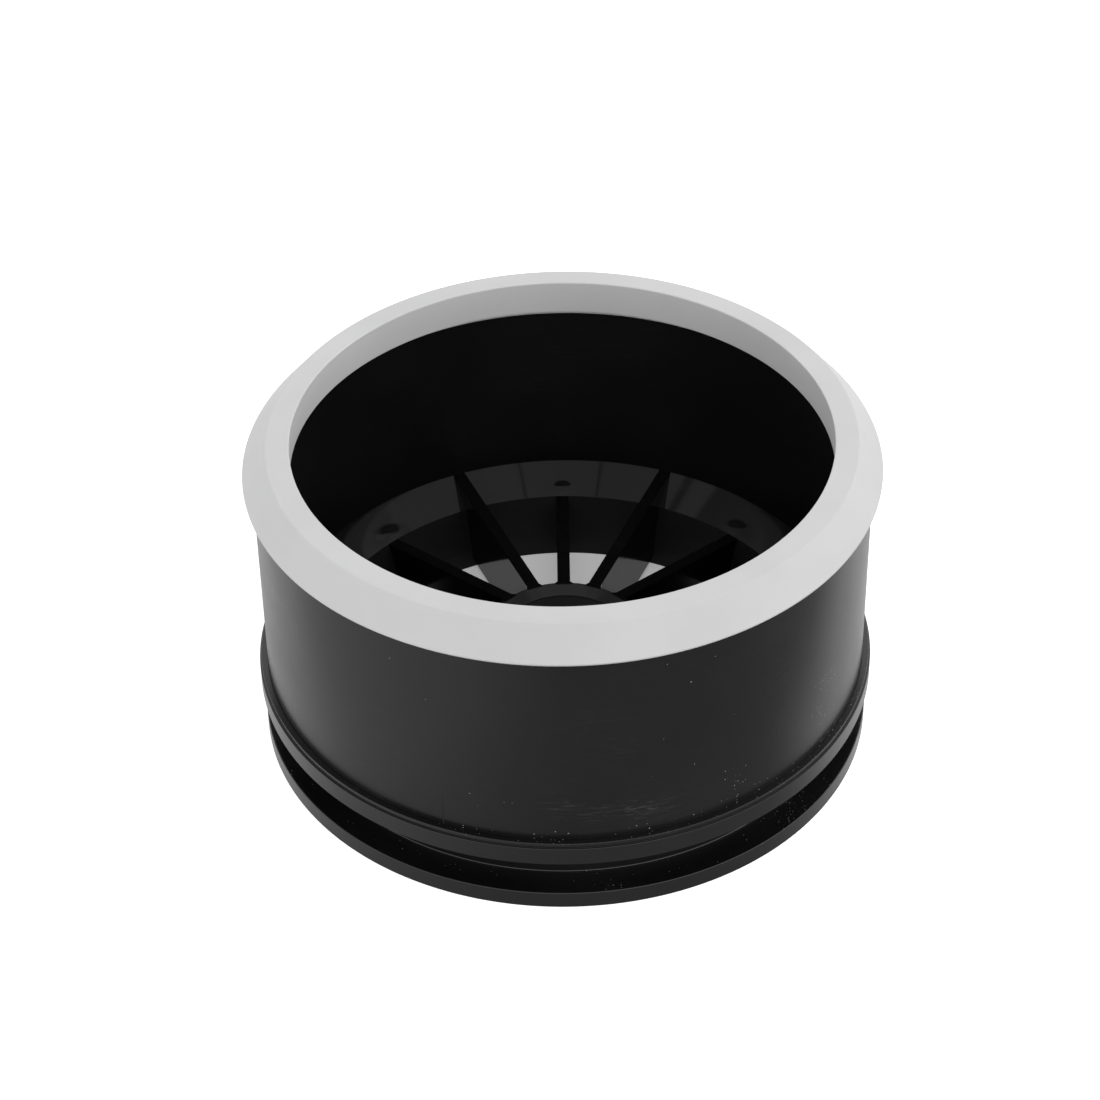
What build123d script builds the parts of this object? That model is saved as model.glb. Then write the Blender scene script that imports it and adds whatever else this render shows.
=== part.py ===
from build123d import *
import os

# Sink baffle of a food-waste disposer: a pale seal ring on a black sleeve, and a grooved
# base whose grid of sixteen webs round a hub lets the waste fall through.
# Millimetres. The Z axis is the sleeve's axis, +Z is up towards the sink, and the origin is
# the middle of the flat underside.

# Base: foot flange, groove neck and ledge collar, one on top of the other
FLANGE_RADIUS = 41.4
FLANGE_TOP = 2.5
GROOVE_TOP = 8.0
NECK_RADIUS = 37.4
BEAD_RADIUS = 41.8
BEAD_TOP = 10.9
EDGE_ROUND = 0.4

# The opening through the base narrows towards the underside
MOUTH_RADIUS_BOTTOM = 32.0
LEDGE_INNER_RADIUS = 34.4
LEDGE_INNER_HEIGHT = 8.8
LEDGE_OUTER_HEIGHT = 11.6
SOCKET_FLOOR = 9.9

# Sleeve, a plain tube
SLEEVE_RADIUS = 40.7
SLEEVE_BORE_RADIUS = 39.6
SLEEVE_TOP = 40.45

# Seal ring: it overhangs the sleeve inside and outside, and its spigot plugs the bore
RING_BORE_RADIUS = 35.5
RING_FLARE = 0.25
RING_TOP = 45.4
RING_FLAT_RADIUS = 38.7
RING_CROWN_DROP = 0.15
RING_RADIUS = 42.0
RING_WIDEST_HEIGHT = 41.35
RING_LIP_RADIUS = 41.4
RING_LIP_HEIGHT = 40.75
RING_INNER_LIP_HEIGHT = 40.3
SPIGOT_BORE_RADIUS = 38.1
SPIGOT_END = 38.5
SPIGOT_CLEARANCE = 0.3

# Hub and webs of the grid
HUB_RADIUS = 10.9
HUB_BORE_RADIUS = 8.5
HUB_BORE_TOP = 11.1
GRID_BOTTOM = 1.0
WEB_THICKNESS = 1.8
WEB_COUNT = 16
WEB_STEP = 360 / WEB_COUNT
FIRST_MINOR_WEB = 0.0
FIRST_MAJOR_WEB = FIRST_MINOR_WEB + WEB_STEP

os.makedirs("parts", exist_ok=True)


def save(part, label):
    """Label a finished piece and write it to its own STEP file."""
    part.label = label
    export_step(part, f"parts/{label}.step")


def mouth_radius(height):
    """Radius of the base's tapered opening at a height above the underside."""
    taper = (LEDGE_INNER_RADIUS - MOUTH_RADIUS_BOTTOM) / LEDGE_INNER_HEIGHT
    return MOUTH_RADIUS_BOTTOM + taper * height


def rounded_corner(sketch, radius, height):
    """Vertex of a profile nearest to a corner given by its radius and height."""
    corner = Vector(radius, height, 0)
    return sketch.vertices().sort_by_distance(corner)[0]


def foot_flange():
    """Flat ring that stands on the surface, below the groove."""
    with BuildPart() as flange:
        with BuildSketch(Plane.XZ) as profile:
            with BuildLine():
                Polyline(
                    (MOUTH_RADIUS_BOTTOM, 0),
                    (FLANGE_RADIUS, 0),
                    (FLANGE_RADIUS, FLANGE_TOP),
                    (mouth_radius(FLANGE_TOP), FLANGE_TOP),
                    close=True,
                )
            make_face()
            fillet(rounded_corner(profile, FLANGE_RADIUS, 0), EDGE_ROUND)
            fillet(rounded_corner(profile, FLANGE_RADIUS, FLANGE_TOP), EDGE_ROUND)
        revolve(axis=Axis.Z)
    save(flange.part, "foot_flange")


def groove_neck():
    """Narrow ring between the foot flange and the bead, the bottom of the mounting groove."""
    with BuildPart() as neck:
        with BuildSketch(Plane.XZ):
            with BuildLine():
                Polyline(
                    (mouth_radius(FLANGE_TOP), FLANGE_TOP),
                    (NECK_RADIUS, FLANGE_TOP),
                    (NECK_RADIUS, GROOVE_TOP),
                    (mouth_radius(GROOVE_TOP), GROOVE_TOP),
                    close=True,
                )
            make_face()
        revolve(axis=Axis.Z)
    save(neck.part, "groove_neck")


def ledge_collar():
    """Ring with the outer bead, the sleeve's socket and the sloping ledge inside."""
    with BuildPart() as collar:
        with BuildSketch(Plane.XZ) as profile:
            with BuildLine():
                Polyline(
                    (mouth_radius(GROOVE_TOP), GROOVE_TOP),
                    (BEAD_RADIUS, GROOVE_TOP),
                    (BEAD_RADIUS, BEAD_TOP),
                    (SLEEVE_RADIUS, BEAD_TOP),
                    (SLEEVE_RADIUS, SOCKET_FLOOR),
                    (SLEEVE_BORE_RADIUS, SOCKET_FLOOR),
                    (SLEEVE_BORE_RADIUS, LEDGE_OUTER_HEIGHT),
                    (LEDGE_INNER_RADIUS, LEDGE_INNER_HEIGHT),
                    close=True,
                )
            make_face()
            fillet(rounded_corner(profile, BEAD_RADIUS, GROOVE_TOP), EDGE_ROUND)
            fillet(rounded_corner(profile, BEAD_RADIUS, BEAD_TOP), EDGE_ROUND)
        revolve(axis=Axis.Z)
    save(collar.part, "ledge_collar")


def sleeve():
    """Black tube that stands in the collar's socket and carries the seal ring."""
    with BuildPart() as tube:
        with BuildSketch(Plane.XY.offset(SOCKET_FLOOR)):
            Circle(SLEEVE_RADIUS)
            Circle(SLEEVE_BORE_RADIUS, mode=Mode.SUBTRACT)
        extrude(amount=SLEEVE_TOP - SOCKET_FLOOR)
    save(tube.part, "sleeve")


def seal_ring():
    """Pale soft ring that presses against the sink flange and pulls off the sleeve."""
    spigot_radius = SLEEVE_BORE_RADIUS - SPIGOT_CLEARANCE
    with BuildPart() as ring:
        with BuildSketch(Plane.XZ) as profile:
            with BuildLine():
                Polyline(
                    (RING_BORE_RADIUS + RING_FLARE, RING_INNER_LIP_HEIGHT),
                    (SPIGOT_BORE_RADIUS, RING_INNER_LIP_HEIGHT),
                    (SPIGOT_BORE_RADIUS, SPIGOT_END),
                    (spigot_radius, SPIGOT_END),
                    (spigot_radius, RING_LIP_HEIGHT),
                    (RING_LIP_RADIUS, RING_LIP_HEIGHT),
                    (RING_RADIUS, RING_WIDEST_HEIGHT),
                    (RING_FLAT_RADIUS, RING_TOP - RING_CROWN_DROP),
                    (RING_BORE_RADIUS, RING_TOP),
                    close=True,
                )
            make_face()
            crease = rounded_corner(profile, RING_FLAT_RADIUS, RING_TOP - RING_CROWN_DROP)
            fillet(crease, EDGE_ROUND)
        revolve(axis=Axis.Z)
    save(ring.part, "seal_ring")


def hub():
    """Open tube at the middle of the grid, its top sloping in towards the bore."""
    with BuildPart() as tube:
        with BuildSketch(Plane.XZ):
            with BuildLine():
                Polyline(
                    (HUB_BORE_RADIUS, GRID_BOTTOM),
                    (HUB_RADIUS, GRID_BOTTOM),
                    (HUB_RADIUS, LEDGE_OUTER_HEIGHT),
                    (HUB_BORE_RADIUS, HUB_BORE_TOP),
                    close=True,
                )
            make_face()
        revolve(axis=Axis.Z)
    save(tube.part, "hub")


def web(label, angle, tip_radius, tip_height):
    """Upright web from the hub out to the ledge, its top straight from hub to tip."""
    radial_plane = Plane.XZ.rotated((0, 0, angle))
    with BuildPart() as blade:
        with BuildSketch(radial_plane):
            with BuildLine():
                Polyline(
                    (HUB_BORE_RADIUS, GRID_BOTTOM),
                    (SLEEVE_BORE_RADIUS, GRID_BOTTOM),
                    (tip_radius, tip_height),
                    (HUB_BORE_RADIUS, LEDGE_OUTER_HEIGHT),
                    close=True,
                )
            make_face()
        extrude(amount=WEB_THICKNESS / 2, both=True)
        with BuildSketch(Plane.XZ):
            with BuildLine():
                Polyline(
                    (0, 0),
                    (HUB_RADIUS, 0),
                    (HUB_RADIUS, SLEEVE_TOP),
                    (0, SLEEVE_TOP),
                    close=True,
                )
            make_face()
        revolve(axis=Axis.Z, mode=Mode.SUBTRACT)
        with BuildSketch(Plane.XZ):
            with BuildLine():
                Polyline(
                    (mouth_radius(0), 0),
                    (LEDGE_INNER_RADIUS, LEDGE_INNER_HEIGHT),
                    (SLEEVE_BORE_RADIUS, LEDGE_OUTER_HEIGHT),
                    (SLEEVE_BORE_RADIUS, SLEEVE_TOP),
                    (BEAD_RADIUS, SLEEVE_TOP),
                    (BEAD_RADIUS, 0),
                    close=True,
                )
            make_face()
        revolve(axis=Axis.Z, mode=Mode.SUBTRACT)
    save(blade.part, label)


def grid():
    """Hub with eight major webs up to the sleeve and eight minor ones between them."""
    hub()
    for number in range(WEB_COUNT // 2):
        turn = 2 * WEB_STEP * number
        major = FIRST_MAJOR_WEB + turn
        minor = FIRST_MINOR_WEB + turn
        web(f"major_web_{number + 1}", major, SLEEVE_BORE_RADIUS, LEDGE_OUTER_HEIGHT)
        web(f"minor_web_{number + 1}", minor, LEDGE_INNER_RADIUS, LEDGE_INNER_HEIGHT)


foot_flange()
groove_neck()
ledge_collar()
sleeve()
seal_ring()
grid()
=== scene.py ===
"""Looks of a sink disposer baffle: seal ring, sleeve, grooved base and web grid.

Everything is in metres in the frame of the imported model. The Z axis is the sleeve's axis and
the underside stands on z = 0. Every round piece is an outline in (radius, height) turned about
the Z axis on a grid of angle by outline point, and every web is a closed section carried
outwards from the hub.
"""

import logging
import math
from collections.abc import Callable
from dataclasses import dataclass
from enum import Enum

import bpy
import numpy as np
from mathutils import Matrix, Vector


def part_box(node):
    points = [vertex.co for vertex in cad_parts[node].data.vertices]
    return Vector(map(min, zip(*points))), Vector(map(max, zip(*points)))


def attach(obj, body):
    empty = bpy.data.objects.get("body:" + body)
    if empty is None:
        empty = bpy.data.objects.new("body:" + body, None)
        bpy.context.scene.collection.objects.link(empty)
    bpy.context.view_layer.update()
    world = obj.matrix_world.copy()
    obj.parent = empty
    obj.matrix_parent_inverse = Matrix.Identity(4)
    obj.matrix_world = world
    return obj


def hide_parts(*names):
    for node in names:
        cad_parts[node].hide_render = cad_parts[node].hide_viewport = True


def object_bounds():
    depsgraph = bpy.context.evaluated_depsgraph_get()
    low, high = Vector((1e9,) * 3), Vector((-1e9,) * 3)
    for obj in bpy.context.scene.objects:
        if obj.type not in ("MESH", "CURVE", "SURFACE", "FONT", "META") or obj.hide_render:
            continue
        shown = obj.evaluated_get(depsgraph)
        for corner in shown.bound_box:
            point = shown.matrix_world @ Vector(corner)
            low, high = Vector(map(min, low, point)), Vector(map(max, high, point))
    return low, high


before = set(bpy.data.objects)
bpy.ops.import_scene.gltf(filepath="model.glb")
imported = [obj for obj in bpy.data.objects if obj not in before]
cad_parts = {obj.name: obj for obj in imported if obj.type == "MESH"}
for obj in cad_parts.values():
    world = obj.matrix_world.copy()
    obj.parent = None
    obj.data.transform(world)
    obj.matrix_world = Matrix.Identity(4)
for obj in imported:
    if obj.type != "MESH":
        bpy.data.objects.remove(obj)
cad_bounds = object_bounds()

LOG = logging.getLogger("baffle")
MM = 0.001
FLOAT_SOCKET = "NodeSocketFloat"
VECTOR_SOCKET = "NodeSocketVector"

Material = bpy.types.Material
MeshObject = bpy.types.Object
Node = bpy.types.Node
Socket = bpy.types.NodeSocket
Tree = bpy.types.NodeTree
Sockets = dict[str, Socket]
Relief = Callable[[np.ndarray, np.ndarray, np.ndarray], np.ndarray]
Colour = tuple[float, float, float, float]
Value = Socket | float | Colour

WHITE: Colour = (1.0, 1.0, 1.0, 1.0)


class Body(Enum):
    """Rigid bodies of the frame that a piece can ride on."""

    HOUSING = "housing"
    SEAL = "seal"


class Slot(Enum):
    """Material slots of the record."""

    SEAL = "seal"
    SLEEVE = "sleeve"
    BASE = "base"
    GRID = "grid"


# ---------------------------------------------------------------------------------------
# Outlines and grids
# ---------------------------------------------------------------------------------------


@dataclass
class Outline:
    """Closed outline in the (radius, height) plane, anticlockwise, with its outward normals."""

    points: np.ndarray
    normals: np.ndarray

    @classmethod
    def rounded(cls, corners: list[tuple[float, float, float]], arc_steps: int = 5) -> "Outline":
        """Outline of straight runs with every corner rounded.

        At a corner with half angle h between its two runs, the arc of radius R touches the
        runs R / tan(h) from the corner. Its normals turn evenly from one run's normal to the
        other's, and its points are the arc's centre plus, or minus in a hollow corner, R
        times the normal.

        Args:
            corners: radius, height and rounding radius of each corner, anticlockwise.
            arc_steps: number of steps in each arc.

        Returns:
            The outline with one normal for each point.
        """
        table = np.array(corners, float)
        here = table[:, :2]
        rounding = table[:, 2]
        ahead = np.roll(here, -1, axis=0) - here
        ahead /= np.linalg.norm(ahead, axis=1, keepdims=True)
        behind = np.roll(ahead, 1, axis=0)
        turn = np.arctan2(
            behind[:, 0] * ahead[:, 1] - behind[:, 1] * ahead[:, 0],
            np.sum(behind * ahead, axis=1),
        )
        reach = rounding * np.tan(np.abs(turn) / 2)
        side = np.sign(turn)
        before_normal = np.stack([behind[:, 1], -behind[:, 0]], axis=1)
        centre = here - behind * reach[:, None] - before_normal * (side * rounding)[:, None]
        start = np.arctan2(before_normal[:, 1], before_normal[:, 0])
        steps = np.linspace(0.0, 1.0, arc_steps + 1)
        angle = start[:, None] + turn[:, None] * steps[None, :]
        normals = np.stack([np.cos(angle), np.sin(angle)], axis=2)
        points = centre[:, None, :] + normals * (side * rounding)[:, None, None]
        return cls(points.reshape(-1, 2), normals.reshape(-1, 2))

    def divided(self, spacing: float) -> "Outline":
        """Outline with extra points on its long runs, evenly spaced along each run.

        Args:
            spacing: largest distance between two neighbouring points.

        Returns:
            A new outline, whose added points have the blend of their neighbours' normals.
        """
        after = np.roll(self.points, -1, axis=0)
        normal_after = np.roll(self.normals, -1, axis=0)
        length = np.linalg.norm(after - self.points, axis=1)
        pieces = np.maximum(1, np.ceil(length / spacing)).astype(int)
        index = np.repeat(np.arange(len(pieces)), pieces)
        first = np.repeat(np.cumsum(pieces) - pieces, pieces)
        share = ((np.arange(len(index)) - first) / pieces[index])[:, None]
        points = self.points[index] * (1 - share) + after[index] * share
        normals = self.normals[index] * (1 - share) + normal_after[index] * share
        normals /= np.linalg.norm(normals, axis=1, keepdims=True)
        return Outline(points, normals)


def make_piece(
    name: str,
    vertices: np.ndarray,
    faces: list[list[int]],
    normals: np.ndarray | None = None,
) -> MeshObject:
    """Smooth mesh object at the origin, linked to the scene.

    Args:
        name: the object's name.
        vertices: (n, 3) places in metres.
        faces: vertex numbers of each face, anticlockwise seen from outside.
        normals: (n, 3) shading normals, or None to take them from the faces.

    Returns:
        The new object.
    """
    mesh = bpy.data.meshes.new(name)
    mesh.from_pydata(vertices.tolist(), [], faces)
    mesh.validate()
    mesh.polygons.foreach_set("use_smooth", np.ones(len(mesh.polygons), bool))
    if normals is not None:
        mesh.normals_split_custom_set_from_vertices(normals.tolist())
    mesh.update()
    piece = bpy.data.objects.new(name, mesh)
    bpy.context.scene.collection.objects.link(piece)
    return piece


def ring_faces(rows: int, columns: int, rows_closed: bool = True) -> np.ndarray:
    """Quads of a grid whose columns close on themselves.

    The quad at row i and column j joins (i, j), (i + 1, j), (i + 1, j + 1) and (i, j + 1),
    with vertex number row times columns plus column.

    Args:
        rows: number of rows of vertices.
        columns: number of vertices in each row.
        rows_closed: whether the last row joins the first.

    Returns:
        (n, 4) vertex numbers.
    """
    last = rows if rows_closed else rows - 1
    row, column = np.meshgrid(np.arange(last), np.arange(columns), indexing="ij")
    next_row = (row + 1) % rows
    next_column = (column + 1) % columns
    quad = [
        row * columns + column,
        next_row * columns + column,
        next_row * columns + next_column,
        row * columns + next_column,
    ]
    return np.stack(quad, axis=-1).reshape(-1, 4)


def turned(name: str, outline: Outline, segments: int, relief: Relief | None = None) -> MeshObject:
    """Round piece: an outline turned about the Z axis.

    The point at angle a and outline point (r, z) is (r cos a, r sin a, z). A relief moves it
    along its own normal by d, and the shading normal is then the plain normal less the slope
    of d along the outline and round the axis.

    Args:
        name: the object's name.
        outline: closed outline in (radius, height).
        segments: number of steps round the axis.
        relief: height of the relief, in metres, from angle, radius and height.

    Returns:
        The new object.
    """
    angle = np.linspace(0.0, 2 * math.pi, segments, endpoint=False)[:, None]
    radius = outline.points[None, :, 0]
    height = outline.points[None, :, 1]
    outward = outline.normals[None, :, 0]
    upward = outline.normals[None, :, 1]
    raised = np.zeros((segments, radius.shape[1]))
    if relief is not None:
        raised = raised + relief(angle, radius, height)
    step_after = np.linalg.norm(np.roll(outline.points, -1, 0) - outline.points, axis=1)
    step_before = np.roll(step_after, 1)
    span = (step_after + step_before)[None, :]
    along = (np.roll(raised, -1, 1) - np.roll(raised, 1, 1)) / span
    around = (np.roll(raised, -1, 0) - np.roll(raised, 1, 0)) / (4 * math.pi / segments * radius)
    place_r = radius + raised * outward
    place_z = height + raised * upward
    cosine = np.cos(angle)
    sine = np.sin(angle)
    vertices = np.stack([place_r * cosine, place_r * sine, place_z], axis=-1)
    normal_r = outward + along * upward
    normal_z = upward - along * outward
    normal_x = normal_r * cosine + around * sine
    normal_y = normal_r * sine - around * cosine
    normals = np.stack([normal_x, normal_y, normal_z], axis=-1).reshape(-1, 3)
    normals /= np.linalg.norm(normals, axis=1, keepdims=True)
    faces = ring_faces(segments, radius.shape[1])
    return make_piece(name, vertices.reshape(-1, 3), faces.tolist(), normals)


# ---------------------------------------------------------------------------------------
# Materials
# ---------------------------------------------------------------------------------------


class NodeTree:
    """Short way to add and join the nodes of one material, world or group."""

    def __init__(self, tree: Tree) -> None:
        """Keep the tree that the nodes go into."""
        self.tree = tree

    def add(self, kind: str, **settings: object) -> Node:
        """Add a node and set its properties.

        Args:
            kind: Blender's node type.
            settings: property names and values.

        Returns:
            The new node.
        """
        node = self.tree.nodes.new(kind)
        for key, value in settings.items():
            setattr(node, key, value)
        return node

    def join(self, source: Socket, target: Socket) -> None:
        """Join an output to an input."""
        self.tree.links.new(source, target)

    def feed(self, target: Socket, value: Value) -> None:
        """Join a socket, or set a plain value, on an input.

        Args:
            target: the input.
            value: an output to join to it, or a number or colour to set on it.
        """
        if isinstance(value, Socket):
            self.join(value, target)
        else:
            target.default_value = value

    def math(self, operation: str, *values: Value, clamp: bool = False) -> Socket:
        """Add a Math node.

        Args:
            operation: Blender's name of the operation.
            values: its operands, in order.
            clamp: whether its result is kept within 0 and 1.

        Returns:
            The node's output.
        """
        node = self.add("ShaderNodeMath", operation=operation, use_clamp=clamp)
        for target, value in zip(node.inputs, values):
            self.feed(target, value)
        return node.outputs[0]

    def remap(
        self,
        value: Value,
        low: float,
        high: float,
        to_low: float = 0.0,
        to_high: float = 1.0,
    ) -> Socket:
        """Add a smooth step.

        Args:
            value: what is mapped.
            low: value at and under which the result is to_low.
            high: value at and over which the result is to_high.
            to_low: result at the low end.
            to_high: result at the high end.

        Returns:
            The node's output.
        """
        node = self.add("ShaderNodeMapRange", interpolation_type="SMOOTHSTEP")
        for target, number in zip(node.inputs[:5], (value, low, high, to_low, to_high)):
            self.feed(target, number)
        return node.outputs[0]

    def noise(
        self,
        vector: Socket,
        scale: Value,
        detail: float = 2.0,
        distortion: float = 0.0,
    ) -> Socket:
        """Add a noise texture.

        Args:
            vector: where it is read.
            scale: waves to the metre.
            detail: octaves of finer noise.
            distortion: how much it is twisted.

        Returns:
            The noise's value.
        """
        node = self.add("ShaderNodeTexNoise")
        self.feed(node.inputs["Vector"], vector)
        self.feed(node.inputs["Scale"], scale)
        self.feed(node.inputs["Detail"], detail)
        self.feed(node.inputs["Distortion"], distortion)
        return node.outputs["Fac"]

    def mix_colour(self, share: Value, first: Value, second: Value) -> Socket:
        """Add a mix of two colours.

        Args:
            share: share of the second colour.
            first: the first colour.
            second: the second colour.

        Returns:
            The mixed colour.
        """
        node = self.add("ShaderNodeMix", data_type="RGBA")
        factor, colour_a, colour_b = node.inputs[0], node.inputs[6], node.inputs[7]
        for target, value in ((factor, share), (colour_a, first), (colour_b, second)):
            self.feed(target, value)
        return node.outputs[2]

    def split(self, vector: Socket) -> list[Socket]:
        """Add a node that gives the x, y and z of a vector.

        Args:
            vector: the vector.

        Returns:
            The three parts.
        """
        node = self.add("ShaderNodeSeparateXYZ")
        self.join(vector, node.inputs[0])
        return list(node.outputs)

    def length(self, x: Value, y: Value) -> Socket:
        """Length of a level vector, sqrt(x squared + y squared).

        Args:
            x: its first part.
            y: its second part.

        Returns:
            The length.
        """
        squares = self.math("ADD", self.math("MULTIPLY", x, x), self.math("MULTIPLY", y, y))
        return self.math("SQRT", squares)

    def bump(self, height: Socket, strength: float, distance: float) -> Socket:
        """Add a bump.

        Args:
            height: the relief, in units of the distance.
            strength: how much of it shows.
            distance: depth of a relief of 1, in metres.

        Returns:
            The bumped normal.
        """
        node = self.add("ShaderNodeBump")
        node.inputs["Strength"].default_value = strength
        node.inputs["Distance"].default_value = distance
        self.join(height, node.inputs["Height"])
        return node.outputs[0]


def new_group(
    name: str,
    inputs: tuple[tuple[str, str], ...],
    outputs: tuple[tuple[str, str], ...],
) -> tuple[NodeTree, Node, Node]:
    """Empty shader node group with named sockets.

    Args:
        name: the group's name.
        inputs: name and socket type of each input.
        outputs: name and socket type of each output.

    Returns:
        The group's nodes, its input node and its output node.
    """
    group = bpy.data.node_groups.new(name, "ShaderNodeTree")
    for label, kind in inputs:
        group.interface.new_socket(label, in_out="INPUT", socket_type=kind)
    for label, kind in outputs:
        group.interface.new_socket(label, in_out="OUTPUT", socket_type=kind)
    nodes = NodeTree(group)
    return nodes, nodes.add("NodeGroupInput"), nodes.add("NodeGroupOutput")


def axis_group() -> Tree:
    """Group that gives a place's angle round the Z axis, radius and height.

    Angle is arctan2(y, x) in radians, and Radius and Height are in metres.

    Returns:
        The node group.
    """
    nodes, given, result = new_group(
        "round_the_axis",
        (("Vector", VECTOR_SOCKET),),
        (("Angle", FLOAT_SOCKET), ("Radius", FLOAT_SOCKET), ("Height", FLOAT_SOCKET)),
    )
    x, y, z = nodes.split(given.outputs["Vector"])
    nodes.join(nodes.math("ARCTAN2", y, x), result.inputs["Angle"])
    nodes.join(nodes.length(x, y), result.inputs["Radius"])
    nodes.join(z, result.inputs["Height"])
    return nodes.tree


def grain_group() -> Tree:
    """Group for the grain of a moulded surface.

    Height is fine noise plus a slower swell, and Tone is a slow cloud from 0 to 1. The scales
    of the swell and of the cloud are shares of the grain's.

    Returns:
        The node group.
    """
    swell_scale = 0.06
    cloud_scale = 0.02
    cloud_edges = (0.3, 0.7)
    nodes, given, result = new_group(
        "moulded_grain",
        (("Vector", VECTOR_SOCKET), ("Scale", FLOAT_SOCKET), ("Swell", FLOAT_SOCKET)),
        (("Height", FLOAT_SOCKET), ("Tone", FLOAT_SOCKET)),
    )
    vector = given.outputs["Vector"]
    scale = given.outputs["Scale"]
    fine = nodes.noise(vector, scale, detail=3.0)
    slow = nodes.noise(vector, nodes.math("MULTIPLY", scale, swell_scale))
    swell = nodes.math("MULTIPLY", slow, given.outputs["Swell"])
    nodes.join(nodes.math("ADD", fine, swell), result.inputs["Height"])
    cloud = nodes.noise(vector, nodes.math("MULTIPLY", scale, cloud_scale), detail=4.0)
    nodes.join(nodes.remap(cloud, *cloud_edges), result.inputs["Tone"])
    return nodes.tree


def dust_group() -> Tree:
    """Group for dust: small round specks that gather in clumps.

    A speck is where the distance to a Voronoi point is under that cell's own small size. A
    cell carries a speck if its random number is under Amount, which a clumping noise raises
    and lowers.

    Returns:
        The node group.
    """
    clump_scale = 170.0
    clump_edges = (0.36, 0.64)
    smallest = 0.08
    spread = 0.22
    soft_edge = 0.06
    nodes, given, result = new_group(
        "dust_specks",
        (("Vector", VECTOR_SOCKET), ("Scale", FLOAT_SOCKET), ("Amount", FLOAT_SOCKET)),
        (("Mask", FLOAT_SOCKET),),
    )
    vector = given.outputs["Vector"]
    cells = nodes.add("ShaderNodeTexVoronoi", feature="F1")
    nodes.join(vector, cells.inputs["Vector"])
    nodes.join(given.outputs["Scale"], cells.inputs["Scale"])
    number = nodes.add("ShaderNodeSeparateColor")
    nodes.join(cells.outputs["Color"], number.inputs[0])
    clump = nodes.remap(nodes.noise(vector, clump_scale, detail=3.0), *clump_edges)
    chance = nodes.math("MULTIPLY", given.outputs["Amount"], clump)
    carries = nodes.math("LESS_THAN", number.outputs[0], chance)
    size = nodes.math("MULTIPLY_ADD", number.outputs[1], spread, smallest)
    inside = nodes.math("SUBTRACT", size, cells.outputs["Distance"])
    speck = nodes.remap(inside, 0.0, soft_edge)
    nodes.join(nodes.math("MULTIPLY", carries, speck), result.inputs["Mask"])
    return nodes.tree


def scuff_group() -> Tree:
    """Group for scuffs: thin level scratches broken up by a patchy noise.

    The scratches follow the middle value of a noise that changes many times faster with the
    height than across, so that they run level, and they show only where the patchy noise is
    high.

    Returns:
        The node group.
    """
    flattening = 13.0
    scratch_scale = 150.0
    scratch_width = 0.03
    patch_scale = 55.0
    patch_edges = (0.5, 0.68)
    nodes, given, result = new_group(
        "level_scuffs",
        (("Vector", VECTOR_SOCKET), ("Amount", FLOAT_SOCKET)),
        (("Mask", FLOAT_SOCKET),),
    )
    vector = given.outputs["Vector"]
    drawn = nodes.add("ShaderNodeMapping")
    nodes.join(vector, drawn.inputs["Vector"])
    drawn.inputs["Scale"].default_value = (1.0, 1.0, flattening)
    lines = nodes.noise(drawn.outputs[0], scratch_scale, detail=4.0, distortion=0.5)
    off_middle = nodes.math("ABSOLUTE", nodes.math("SUBTRACT", lines, 0.5))
    line = nodes.remap(off_middle, 0.0, scratch_width, 1.0, 0.0)
    patch = nodes.remap(nodes.noise(vector, patch_scale), *patch_edges)
    mask = nodes.math("MULTIPLY", nodes.math("MULTIPLY", line, patch), given.outputs["Amount"])
    nodes.join(mask, result.inputs["Mask"])
    return nodes.tree


class Effects:
    """The shared node groups, built once."""

    def __init__(self) -> None:
        """Build every group."""
        self.axis = axis_group()
        self.grain = grain_group()
        self.dust = dust_group()
        self.scuffs = scuff_group()

    def place(self, nodes: NodeTree, group: Tree, **values: Value) -> Sockets:
        """Put a group into a material with its own values.

        Args:
            nodes: the material's nodes.
            group: the shared group.
            values: input names and their sockets or numbers.

        Returns:
            The group's outputs by name.
        """
        node = nodes.add("ShaderNodeGroup", node_tree=group)
        for label, value in values.items():
            nodes.feed(node.inputs[label], value)
        return {socket.name: socket for socket in node.outputs}


def new_material(name: str) -> tuple[Material, NodeTree, Node, Socket]:
    """Empty material with a Principled shader joined to its output.

    Args:
        name: the material's name.

    Returns:
        The material, its nodes, its shader node and the Object coordinates.
    """
    material = bpy.data.materials.new(name)
    material.use_nodes = True
    material.node_tree.nodes.clear()
    nodes = NodeTree(material.node_tree)
    output = nodes.add("ShaderNodeOutputMaterial")
    shader = nodes.add("ShaderNodeBsdfPrincipled")
    nodes.join(shader.outputs[0], output.inputs["Surface"])
    place = nodes.add("ShaderNodeTexCoord").outputs["Object"]
    return material, nodes, shader, place


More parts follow.
